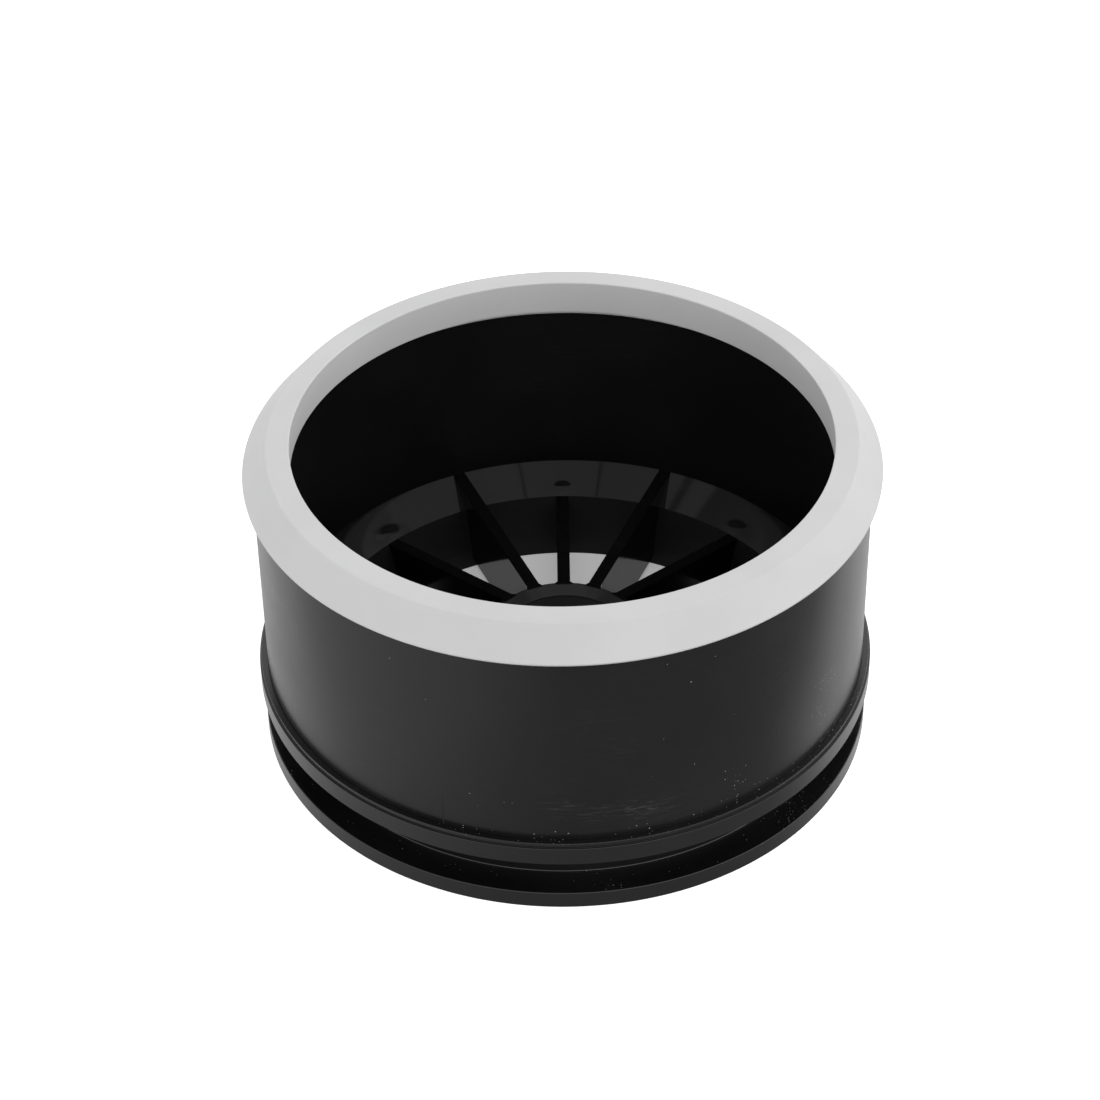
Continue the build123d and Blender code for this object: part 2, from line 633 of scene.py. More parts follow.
@dataclass(frozen=True)
class SealFinish:
    """Pale grey soft elastomer, matt, with a faint cloud, fine grain and a few specks."""

    name: str = "soft_pale_elastomer"
    colour: Colour = (0.645, 0.645, 0.648, 1.0)
    shade: Colour = (0.615, 0.615, 0.618, 1.0)
    speck: Colour = (0.30, 0.29, 0.28, 1.0)
    roughness: float = 0.59
    roughness_fall: float = -0.06
    specular: float = 0.35
    grain_scale: float = 3800.0
    grain_swell: float = 0.6
    grain_depth: float = 0.12
    bump_distance: float = 0.06 * MM
    speck_scale: float = 1500.0
    speck_amount: float = 0.003

    def build(self, effects: Effects) -> Material:
        """Material of the seal ring.

        Args:
            effects: the shared node groups.

        Returns:
            The new material.
        """
        material, nodes, shader, place = new_material(self.name)
        grain = effects.place(
            nodes, effects.grain, Vector=place, Scale=self.grain_scale, Swell=self.grain_swell
        )
        dust = effects.place(
            nodes, effects.dust, Vector=place, Scale=self.speck_scale, Amount=self.speck_amount
        )
        tone = nodes.mix_colour(grain["Tone"], self.shade, self.colour)
        nodes.join(nodes.mix_colour(dust["Mask"], tone, self.speck), shader.inputs["Base Color"])
        rough = nodes.math("MULTIPLY_ADD", grain["Tone"], self.roughness_fall, self.roughness)
        nodes.join(rough, shader.inputs["Roughness"])
        shader.inputs["Specular IOR Level"].default_value = self.specular
        normal = nodes.bump(grain["Height"], self.grain_depth, self.bump_distance)
        nodes.join(normal, shader.inputs["Normal"])
        return material


@dataclass(frozen=True)
class MarkedPatch:
    """Oval area of a surface with more dust or scuffs than the rest of it."""

    angle: float
    height: float
    half_angle: float
    half_height: float
    dust: float = 0.0
    scuff: float = 0.0
    full_inside: float = 0.35

    def mask(self, nodes: NodeTree, axis: Sockets) -> Socket:
        """Value that falls from 1 in the middle of the oval to 0 at its edge.

        With u and v the distances from the middle over the half sizes, it depends on
        u squared + v squared.

        Args:
            nodes: the material's nodes.
            axis: outputs of the group that unrolls a place about the Z axis.

        Returns:
            The mask's socket.
        """
        turn = nodes.math("SUBTRACT", axis["Angle"], math.radians(self.angle))
        across = nodes.math("DIVIDE", turn, math.radians(self.half_angle))
        rise = nodes.math("SUBTRACT", axis["Height"], self.height)
        up = nodes.math("DIVIDE", rise, self.half_height)
        squares = nodes.math("MULTIPLY_ADD", across, across, nodes.math("MULTIPLY", up, up))
        return nodes.remap(squares, self.full_inside, 1.0, 1.0, 0.0)


@dataclass(frozen=True)
class BlackFinish:
    """Black moulded plastic: colour, gloss, grain, dust and scuffs."""

    name: str
    colour: Colour
    roughness: float
    specular: float
    roughness_rise: float = 0.05
    cloud_lift: float = 1.5
    grain_scale: float = 2600.0
    grain_depth: float = 0.10
    grain_swell: float = 1.2
    bump_distance: float = 0.05 * MM
    lint: Colour = (0.14, 0.137, 0.13, 1.0)
    dust_scale: float = 3000.0
    dust_amount: float = 0.0
    dust_height: float = 1.5
    dust_roughness: float = 0.4
    rubbed: Colour = (0.055, 0.055, 0.056, 1.0)
    rubbed_share: float = 0.5
    scuff_amount: float = 0.0
    scuff_depth: float = 0.6
    scuff_roughness: float = 0.14
    patches: tuple[MarkedPatch, ...] = ()
    knit_angle: float | None = None
    knit_top: float = 0.0
    knit_fade: float = 1.5 * MM
    knit_inner: float = 0.05 * MM
    knit_outer: float = 0.15 * MM
    knit_depth: float = 9.0
    knit_roughness: float = 0.45

    def amounts(self, nodes: NodeTree, axis: Sockets) -> tuple[Value, Value]:
        """How much dust and how many scuffs there are at each place.

        Args:
            nodes: the material's nodes.
            axis: outputs of the group that unrolls a place about the Z axis.

        Returns:
            Sockets or numbers for the dust and the scuffs.
        """
        dust: Value = self.dust_amount
        scuff: Value = self.scuff_amount
        for patch in self.patches:
            mask = patch.mask(nodes, axis)
            dust = nodes.math("MULTIPLY_ADD", mask, patch.dust, dust)
            scuff = nodes.math("MULTIPLY_ADD", mask, patch.scuff, scuff)
        return dust, scuff

    def knit_line(self, nodes: NodeTree, axis: Sockets) -> Socket:
        """Mask of the fine upright line where the melt met in the mould.

        Args:
            nodes: the material's nodes.
            axis: outputs of the group that unrolls a place about the Z axis.

        Returns:
            The mask's socket.
        """
        turn = nodes.math("SUBTRACT", axis["Angle"], math.radians(self.knit_angle))
        offset = nodes.math("MULTIPLY", nodes.math("ABSOLUTE", turn), axis["Radius"])
        thin = nodes.remap(offset, self.knit_inner, self.knit_outer, 1.0, 0.0)
        fade_from = self.knit_top - self.knit_fade
        low = nodes.remap(axis["Height"], fade_from, self.knit_top, 1.0, 0.0)
        return nodes.math("MULTIPLY", thin, low)

    def build(self, effects: Effects) -> Material:
        """Material of this finish.

        Args:
            effects: the shared node groups.

        Returns:
            The new material.
        """
        material, nodes, shader, place = new_material(self.name)
        axis = effects.place(nodes, effects.axis, Vector=place)
        dust_amount, scuff_amount = self.amounts(nodes, axis)
        grain = effects.place(
            nodes, effects.grain, Vector=place, Scale=self.grain_scale, Swell=self.grain_swell
        )
        dust = effects.place(
            nodes, effects.dust, Vector=place, Scale=self.dust_scale, Amount=dust_amount
        )
        scuffs = effects.place(nodes, effects.scuffs, Vector=place, Amount=scuff_amount)
        pale = tuple(self.cloud_lift * channel for channel in self.colour[:3]) + (1.0,)
        clouded = nodes.mix_colour(grain["Tone"], self.colour, pale)
        worn = nodes.math("MULTIPLY", scuffs["Mask"], self.rubbed_share)
        tone = nodes.mix_colour(worn, clouded, self.rubbed)
        nodes.join(nodes.mix_colour(dust["Mask"], tone, self.lint), shader.inputs["Base Color"])
        rough = nodes.math("MULTIPLY_ADD", grain["Tone"], self.roughness_rise, self.roughness)
        rough = nodes.math("MULTIPLY_ADD", scuffs["Mask"], self.scuff_roughness, rough)
        rough = nodes.math("MULTIPLY_ADD", dust["Mask"], self.dust_roughness, rough, clamp=True)
        relief = nodes.math("MULTIPLY_ADD", scuffs["Mask"], -self.scuff_depth, grain["Height"])
        relief = nodes.math("MULTIPLY_ADD", dust["Mask"], self.dust_height, relief)
        if self.knit_angle is not None:
            knit = self.knit_line(nodes, axis)
            rough = nodes.math("MULTIPLY_ADD", knit, self.knit_roughness, rough, clamp=True)
            relief = nodes.math("MULTIPLY_ADD", knit, -self.knit_depth, relief)
        nodes.join(rough, shader.inputs["Roughness"])
        shader.inputs["Specular IOR Level"].default_value = self.specular
        normal = nodes.bump(relief, self.grain_depth, self.bump_distance)
        nodes.join(normal, shader.inputs["Normal"])
        return material


SLEEVE_FINISH = BlackFinish(
    name="satin_black_sleeve",
    colour=(0.0045, 0.0045, 0.0046, 1.0),
    roughness=0.255,
    specular=0.50,
    dust_amount=0.003,
    scuff_amount=0.25,
    patches=(
        MarkedPatch(angle=-34.5, height=19.5 * MM, half_angle=6.0, half_height=5.0 * MM, dust=1.4),
        MarkedPatch(angle=-58.0, height=16.2 * MM, half_angle=4.0, half_height=2.8 * MM, dust=0.4),
        MarkedPatch(angle=-104.0, height=17.0 * MM, half_angle=5.0, half_height=1.5 * MM, dust=0.7),
        MarkedPatch(angle=-50.0, height=12.0 * MM, half_angle=75.0, half_height=1.4 * MM, dust=0.4),
        MarkedPatch(angle=-93.0, height=15.0 * MM, half_angle=26.0, half_height=3.4 * MM, scuff=2.6),
    ),
    lint=(0.33, 0.32, 0.31, 1.0),
    knit_angle=-112.9,
    knit_top=17.3 * MM,
)
BORE_FINISH = BlackFinish(
    name="matt_black_bore",
    colour=(0.0045, 0.0045, 0.0046, 1.0),
    roughness=0.525,
    specular=0.18,
    scuff_amount=0.15,
)
BASE_FINISH = BlackFinish(
    name="half_gloss_black_base",
    colour=(0.0045, 0.0045, 0.0046, 1.0),
    roughness=0.195,
    specular=0.68,
    grain_scale=2200.0,
    grain_depth=0.06,
    grain_swell=0.8,
    scuff_amount=0.2,
    patches=(
        MarkedPatch(angle=0.0, height=2.5 * MM, half_angle=600.0, half_height=0.15 * MM, dust=0.1),
        MarkedPatch(angle=-43.0, height=2.5 * MM, half_angle=9.0, half_height=0.15 * MM, dust=0.6),
        MarkedPatch(angle=-82.0, height=2.5 * MM, half_angle=5.0, half_height=0.15 * MM, dust=0.35),
        MarkedPatch(angle=-50.0, height=11.3 * MM, half_angle=70.0, half_height=0.3 * MM, dust=0.9),
        MarkedPatch(angle=-92.0, height=11.3 * MM, half_angle=0.7, half_height=0.6 * MM, dust=3.0),
    ),
)
MOUTH_FINISH = BlackFinish(
    name="matt_black_mouth",
    colour=(0.0105, 0.0105, 0.0106, 1.0),
    roughness=0.475,
    specular=0.18,
    scuff_amount=0.15,
)
LEDGE_FINISH = BlackFinish(
    name="gloss_black_ledge",
    colour=(0.009, 0.009, 0.0091, 1.0),
    roughness=0.01,
    specular=0.18,
    grain_scale=1500.0,
    grain_depth=0.015,
    grain_swell=1.0,
    scuff_amount=0.2,
)
GRID_FINISH = BlackFinish(
    name="gloss_black_grid",
    colour=(0.0040, 0.0040, 0.0041, 1.0),
    roughness=0.075,
    specular=0.185,
    grain_scale=1500.0,
    grain_depth=0.03,
    grain_swell=1.0,
    scuff_amount=0.1,
)


# ---------------------------------------------------------------------------------------
# Sub-assemblies
# ---------------------------------------------------------------------------------------


def finish_piece(
    piece: MeshObject,
    body: Body,
    slot: Slot,
    material: Material,
    *nodes: str,
) -> None:
    """Dress a piece, put it on its body and let it stand for its CAD nodes.

    Args:
        piece: the finished mesh object.
        body: body it rides on.
        slot: the record's material slot; not used.
        material: its material.
        nodes: CAD nodes that it replaces.
    """
    piece.data.materials.clear()
    piece.data.materials.append(material)
    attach(piece, body.value)
    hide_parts(*nodes)
    LOG.info("%s stands for %s, %d faces", piece.name, ", ".join(nodes), len(piece.data.polygons))


def finish_inside(
    piece: MeshObject,
    limit: float,
    wall: Material,
    slope: Material | None = None,
) -> None:
    """Give the inner faces of a round piece, those that look at the axis, their own finish.

    Args:
        piece: the piece's object.
        limit: radius beyond which no face is an inner face.
        wall: material of the upright inner faces.
        slope: material of the inner faces that also look up; the wall's if left out.
    """
    least_inward = 0.2
    least_upward = 0.3
    piece.data.materials.append(wall)
    piece.data.materials.append(slope or wall)
    count = len(piece.data.polygons)
    centres = np.zeros(count * 3)
    normals = np.zeros(count * 3)
    piece.data.polygons.foreach_get("center", centres)
    piece.data.polygons.foreach_get("normal", normals)
    outward = centres[0::3] * normals[0::3] + centres[1::3] * normals[1::3]
    radius = np.hypot(centres[0::3], centres[1::3])
    inside = (outward < -least_inward * radius) & (radius < limit)
    sloping = inside & (normals[2::3] > least_upward)
    index = inside.astype(np.int32) + sloping.astype(np.int32)
    piece.data.polygons.foreach_set("material_index", index)


@dataclass
class SealRing:
    """Pale ring: flat crown, wide outer bevel, and a spigot under it that plugs the sleeve."""

    segments: int = 256
    crown_width: float = 3.2 * MM
    crown_drop: float = 0.15 * MM
    bevel_drop: float = 4.05 * MM
    lip_drop: float = 4.65 * MM
    lip_inset: float = 0.6 * MM
    mouth_depth: float = 5.1 * MM
    mouth_flare: float = 0.25 * MM
    wall: float = 6.5 * MM
    spigot_thickness: float = 1.2 * MM
    spigot_inset: float = 2.7 * MM
    crease_rounding: float = 0.45 * MM
    edge_rounding: float = 0.18 * MM
    bevel_rounding: float = 0.252 * MM
    waviness: float = 0.012 * MM
    arc_steps: int = 6
    spacing: float = 1.0 * MM

    def outline(self) -> Outline:
        """Outline of the ring from its CAD box and its own sizes.

        Returns:
            The outline, anticlockwise from the lower end of the bore.
        """
        low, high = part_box("seal_ring")
        outer = high.x
        top = high.z
        bore = outer - self.wall
        spigot = outer - self.spigot_inset
        inner_lip = top - self.mouth_depth
        edge = self.edge_rounding
        corners = [
            (bore + self.mouth_flare, inner_lip, edge),
            (spigot - self.spigot_thickness, inner_lip, edge),
            (spigot - self.spigot_thickness, low.z, edge),
            (spigot, low.z, edge),
            (spigot, top - self.lip_drop, edge),
            (outer - self.lip_inset, top - self.lip_drop, edge),
            (outer, top - self.bevel_drop, self.bevel_rounding),
            (bore + self.crown_width, top - self.crown_drop, self.crease_rounding),
            (bore, top, edge),
        ]
        return Outline.rounded(corners, self.arc_steps).divided(self.spacing)

    def relief(self, angle: np.ndarray, radius: np.ndarray, height: np.ndarray) -> np.ndarray:
        """Slow waviness of the soft ring: a sum of three sines of the angle, inwards only."""
        wave = np.sin(3 * angle + 0.7) + 0.6 * np.sin(7 * angle + 2.1) + 0.4 * np.sin(11 * angle)
        return -self.waviness * (1 + 0.5 * wave)

    def build(self, material: Material) -> None:
        """Build the ring and dress it."""
        piece = turned("seal_ring_moulding", self.outline(), self.segments, self.relief)
        finish_piece(piece, Body.SEAL, Slot.SEAL, material, "seal_ring")


@dataclass
class Sleeve:
    """Black tube with square, lightly rounded ends."""

    segments: int = 256
    wall: float = 1.1 * MM
    edge_rounding: float = 0.12 * MM
    shrinkage: float = 0.02 * MM
    wave_twist: float = 60.0
    spacing: float = 1.0 * MM

    def relief(self, angle: np.ndarray, radius: np.ndarray, height: np.ndarray) -> np.ndarray:
        """Shrinkage of the moulding: slow waves round the tube, twisted with height, inwards.

        It is a sum of two sines of the angle, and the second also turns with the height.

        Args:
            angle: angle of each column.
            radius: radius of each outline point.
            height: height of each outline point.

        Returns:
            Height of the relief, in metres.
        """
        twist = self.wave_twist * height
        wave = np.sin(2 * angle + 0.4) + 0.5 * np.sin(5 * angle + 1.3 + twist)
        return -self.shrinkage * (1 + 0.5 * wave)

    def build(self, material: Material, bore_material: Material) -> None:
        """Build the tube and dress it.

        Args:
            material: satin finish of the outside.
            bore_material: matt finish of the bore.
        """
        low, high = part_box("sleeve")
        outer = high.x
        bore = outer - self.wall
        corners = [
            (bore, low.z, self.edge_rounding),
            (outer, low.z, self.edge_rounding),
            (outer, high.z, self.edge_rounding),
            (bore, high.z, self.edge_rounding),
        ]
        outline = Outline.rounded(corners).divided(self.spacing)
        piece = turned("sleeve_tube", outline, self.segments, self.relief)
        finish_piece(piece, Body.HOUSING, Slot.SLEEVE, material, "sleeve")
        finish_inside(piece, (bore + outer) / 2, bore_material)


@dataclass
class Base:
    """Grooved base: foot flange, neck, and the collar with its bead, socket and ledge."""

    segments: int = 256
    mouth_bottom: float = 32.0 * MM
    mouth_top: float = 34.6 * MM
    mouth_height: float = 8.64 * MM
    ledge_height: float = 11.6 * MM
    ledge_width: float = 5.0 * MM
    sleeve_wall: float = 1.1 * MM
    socket_floor: float = 9.9 * MM
    bead_top: float = 10.66 * MM
    lip_width: float = 0.84 * MM
    lip_top: float = 11.36 * MM
    neck_fillet: float = 0.22 * MM
    toe_height: float = 0.05 * MM
    fillet_height: float = 0.06 * MM
    edge_rounding: float = 0.13 * MM
    mouth_rounding: float = 0.15 * MM
    seam_rounding: float = 0.02 * MM
    toe_rounding: float = 0.01 * MM
    fillet_rounding: float = 0.198 * MM
    lip_rounding: float = 0.07 * MM
    foot_rounding: float = 0.03 * MM
    socket_rounding: float = 0.05 * MM
    slope_rounding: float = 0.12 * MM
    knob_height: float = 0.14 * MM
    knob_width: float = 1.9 * MM
    knob_length: float = 0.8 * MM
    knob_inset: float = 0.95 * MM
    knob_count: int = 8
    spacing: float = 1.2 * MM
    fine_spacing: float = 0.6 * MM

    def mouth_radius(self, height: float) -> float:
        """Radius of the tapered opening at a height."""
        share = height / self.mouth_height
        return self.mouth_bottom + (self.mouth_top - self.mouth_bottom) * share

    def flange_outline(self) -> Outline:
        """Outline of the flat lower flange.

        Returns:
            The outline, anticlockwise from the lower edge of the mouth.
        """
        low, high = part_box("foot_flange")
        edge = self.edge_rounding
        corners = [
            (self.mouth_radius(0.0), low.z, self.mouth_rounding),
            (high.x, low.z, edge),
            (high.x, high.z, edge),
            (self.mouth_radius(high.z), high.z, self.seam_rounding),
        ]
        return Outline.rounded(corners).divided(self.spacing)

    def neck_outline(self) -> Outline:
        """Outline of the neck, with a hollow fillet where it meets the flange.

        Returns:
            The outline, anticlockwise from the lower edge of the mouth.
        """
        low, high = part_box("groove_neck")
        seam = self.seam_rounding
        toe = high.x + self.neck_fillet
        corners = [
            (self.mouth_radius(low.z), low.z, seam),
            (toe, low.z, self.toe_rounding),
            (toe, low.z + self.toe_height, self.toe_rounding),
            (high.x, low.z + self.fillet_height, self.fillet_rounding),
            (high.x, high.z, seam),
            (self.mouth_radius(high.z), high.z, seam),
        ]
        return Outline.rounded(corners).divided(self.spacing)

    def collar_outline(self) -> Outline:
        """Outline of the collar: bead, raised lip round the sleeve, socket and ledge.

        Returns:
            The outline, anticlockwise from the lower edge of the mouth.
        """
        low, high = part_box("ledge_collar")
        sleeve_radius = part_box("sleeve")[1].x
        bore = sleeve_radius - self.sleeve_wall
        lip = sleeve_radius + self.lip_width
        corners = [
            (self.mouth_radius(low.z), low.z, self.seam_rounding),
            (high.x, low.z, self.edge_rounding),
            (high.x, self.bead_top, self.lip_rounding),
            (lip, self.bead_top, self.foot_rounding),
            (lip, self.lip_top, self.lip_rounding),
            (sleeve_radius, self.lip_top, self.seam_rounding),
            (sleeve_radius, self.socket_floor, self.socket_rounding),
            (bore, self.socket_floor, self.socket_rounding),
            (bore, self.ledge_height, self.socket_rounding),
            (self.mouth_top, self.mouth_height, self.slope_rounding),
        ]
        return Outline.rounded(corners).divided(self.fine_spacing)

    def ledge_relief(self, angle: np.ndarray, radius: np.ndarray, height: np.ndarray) -> np.ndarray:
        """Low gate marks on the ledge, one in line with each minor web.

        Each is a hump of exp(-(u squared + v squared)) times its height, where u and v are the
        distances round and along the ledge from its middle over its width and length. It
        stands on the sloping top of the ledge only.

        Args:
            angle: angle of each column.
            radius: radius of each outline point.
            height: height of each outline point.

        Returns:
            Height of the relief, in metres.
        """
        step = 2 * math.pi / self.knob_count
        off_line = (angle + step / 2) % step - step / 2
        around = off_line * radius / self.knob_width
        along = (radius - self.mouth_top - self.knob_inset) / self.knob_length
        ledge_end = self.mouth_top + self.ledge_width
        on_top = (height > self.mouth_height) & (radius < ledge_end)
        return self.knob_height * np.exp(-(around ** 2 + along ** 2)) * on_top

    def build(self, material: Material, bore_material: Material, ledge_material: Material) -> None:
        """Build the three rings of the base and dress them.

        Args:
            material: finish of the outside.
            bore_material: matt finish of the mouth's wall.
            ledge_material: high gloss of the sloping ledge.
        """
        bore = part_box("sleeve")[1].x - self.sleeve_wall
        flange = turned("foot_flange_ring", self.flange_outline(), self.segments)
        finish_piece(flange, Body.HOUSING, Slot.BASE, material, "foot_flange")
        neck = turned("groove_neck_ring", self.neck_outline(), self.segments)
        finish_piece(neck, Body.HOUSING, Slot.BASE, material, "groove_neck")
        collar = turned(
            "bead_and_ledge_ring", self.collar_outline(), self.segments * 2, self.ledge_relief
        )
        finish_piece(collar, Body.HOUSING, Slot.BASE, material, "ledge_collar")
        for ring in (flange, neck, collar):
            finish_inside(ring, bore, bore_material, ledge_material)


@dataclass
class Grid:
    """Hub and sixteen webs."""

    hub_wall: float = 2.4 * MM
    hub_segments: int = 128
    hub_rounding: float = 0.15 * MM
    hub_dish: float = 0.5 * MM
    web_thickness: float = 1.8 * MM
    web_rounding: float = 0.15 * MM
    web_sink: float = 0.12 * MM
    hub_overlap: float = 0.4 * MM
    tip_overlap: float = 0.1 * MM
    root_fillet: float = 0.3 * MM
    pairs: int = 8
    along_steps: int = 72
    corner_steps: int = 4
    spacing: float = 1.0 * MM

    def build_hub(self, material: Material) -> None:
        """Build the open tube in the middle.

        Args:
            material: gloss finish.
        """
        low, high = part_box("hub")
        corners = [
            (high.x - self.hub_wall, low.z, self.hub_rounding),
            (high.x, low.z, self.hub_rounding),
            (high.x, high.z, self.hub_rounding),
            (high.x - self.hub_wall, high.z - self.hub_dish, self.hub_rounding),
        ]
        outline = Outline.rounded(corners).divided(self.spacing)
        piece = turned("hub_tube", outline, self.hub_segments)
        finish_piece(piece, Body.HOUSING, Slot.GRID, material, "hub")

    def web_shape(
        self,
        start: float,
        tip: float,
        tip_height: float,
        base: Base,
    ) -> tuple[np.ndarray, np.ndarray, np.ndarray, np.ndarray]:
        """Place, half width, floor and top of a web along its length.

        The floor is level over the opening and then follows the mouth's taper and the ledge,
        a little inside them. The web widens by R - sqrt(R squared - (R - d) squared) within
        R of the hub, where d is the distance from the hub.

        Args:
            start: radius of the hub.
            tip: radius at which the top ends.
            tip_height: height of the top at its tip.
            base: the base, for the shape that the web stands on.

        Returns:
            Distance from the axis, half width, floor height and top height of each station.
        """
        low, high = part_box("hub")
        inside_hub = start - self.hub_overlap
        along = inside_hub + (tip - inside_hub) * np.linspace(0.0, 1.0, self.along_steps)
        top = high.z + (tip_height - high.z) * (along - start) / (tip - start)
        top = np.minimum(top, high.z)
        ledge_end = base.mouth_top + base.ledge_width
        wall_radius = [0.0, base.mouth_radius(low.z), base.mouth_top, ledge_end]
        wall_height = [low.z, low.z, base.mouth_height, base.ledge_height]
        floor = np.interp(along - self.web_sink, wall_radius, wall_height)
        floor = floor - self.web_sink * (floor > low.z)
        least_depth = 2.05 * self.web_rounding
        floor = np.minimum(floor, top - least_depth)
        gap = np.clip(1 - (along - start) / self.root_fillet, 0.0, 1.0)
        half = self.web_thickness / 2 + self.root_fillet * (1 - np.sqrt(1 - gap ** 2))
        return along, half, floor, top

    def build_web(
        self,
        name: str,
        node: str,
        turn: float,
        tip: float,
        tip_height: float,
        base: Base,
        material: Material,
    ) -> None:
        """Build one upright web from the hub to the ledge.

        The section is a rectangle with its corners rounded by R. A corner point at angle a is
        the corner's centre plus R (cos a, sin a), and its normal is (cos a, sin a) made
        square to the web's run.

        Args:
            name: the piece's name.
            node: CAD node that it stands for.
            turn: direction of the web, in radians.
            tip: radius at which its top ends.
            tip_height: height of the top at its tip.
            base: the base, for the shape that the web stands on.
            material: gloss finish.
        """
        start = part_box("hub")[1].x
        along, half, floor, top = self.web_shape(start, tip, tip_height, base)
        corner = np.repeat(np.arange(4), self.corner_steps + 1)
        sweep = np.tile(np.linspace(0.0, math.pi / 2, self.corner_steps + 1), 4)
        angle = sweep + (corner - 1) * math.pi / 2
        side = np.where(corner < 2, 1.0, -1.0)[None, :]
        upper = ((corner == 1) | (corner == 2))[None, :]
        radius = self.web_rounding
        aside = side * (half[:, None] - radius) + radius * np.cos(angle)[None, :]
        middle = np.where(upper, top[:, None] - radius, floor[:, None] + radius)
        height = middle + radius * np.sin(angle)[None, :]
        out = along[:, None] + 0 * aside
        run = np.stack([np.gradient(part, along, axis=0) for part in (out, aside, height)], -1)
        run /= np.linalg.norm(run, axis=-1, keepdims=True)
        flat = np.stack([0 * angle, np.cos(angle), np.sin(angle)], -1)[None, :, :]
        normal = flat - run * np.sum(flat * run, axis=-1, keepdims=True)
        normal /= np.linalg.norm(normal, axis=-1, keepdims=True)
        turned_by = np.array(Matrix.Rotation(turn, 3, "Z")).T
        vertices = np.stack([out, aside, height], -1).reshape(-1, 3) @ turned_by
        columns = len(corner)
        quads = ring_faces(self.along_steps, columns, rows_closed=False)[:, ::-1].tolist()
        last = self.along_steps * columns
        caps = [list(range(columns))[::-1], list(range(last - columns, last))]
        piece = make_piece(name, vertices, quads + caps, normal.reshape(-1, 3) @ turned_by)
        finish_piece(piece, Body.HOUSING, Slot.GRID, material, node)

    def build(self, material: Material, base: Base) -> None:
        """Build the hub and all webs.

        Args:
            material: gloss finish.
            base: the base, for the ledge that the webs stand on.
        """
        self.build_hub(material)
        step = 2 * math.pi / self.pairs
        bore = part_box("sleeve")[1].x - base.sleeve_wall
        kinds = (
            ("major", 0.5, bore, base.ledge_height),
            ("minor", 0.0, base.mouth_top + self.tip_overlap, base.mouth_height),
        )
        for number in range(self.pairs):
            for kind, offset, tip, tip_height in kinds:
                name = f"{kind}_blade_{number + 1}"
                node = f"{kind}_web_{number + 1}"
                turn = step * (number + offset)
                self.build_web(name, node, turn, tip, tip_height, base, material)


# ---------------------------------------------------------------------------------------
# Table, room and camera
# ---------------------------------------------------------------------------------------


@dataclass
class CeilingPanel:
    """Flat lamp over the table that shines straight down."""

    name: str
    left: float
    right: float
    front: float
    back: float
    glow: float

    def build(self, height: float) -> None:
        """Add the lamp.

        Its glow is 1 for the brightness of a white surface in full light. The power is four
        times the glow times the area, which gives the lamp that brightness.

        Args:
            height: height of the lamp over the table.
        """
        width = self.right - self.left
        depth = self.back - self.front
        light = bpy.data.lights.new(self.name, "AREA")
        light.shape = "RECTANGLE"
        light.size = width
        light.size_y = depth
        light.energy = 4 * self.glow * width * depth
        lamp = bpy.data.objects.new(self.name, light)
        bpy.context.scene.collection.objects.link(lamp)
        lamp.location = ((self.left + self.right) / 2, (self.front + self.back) / 2, height)


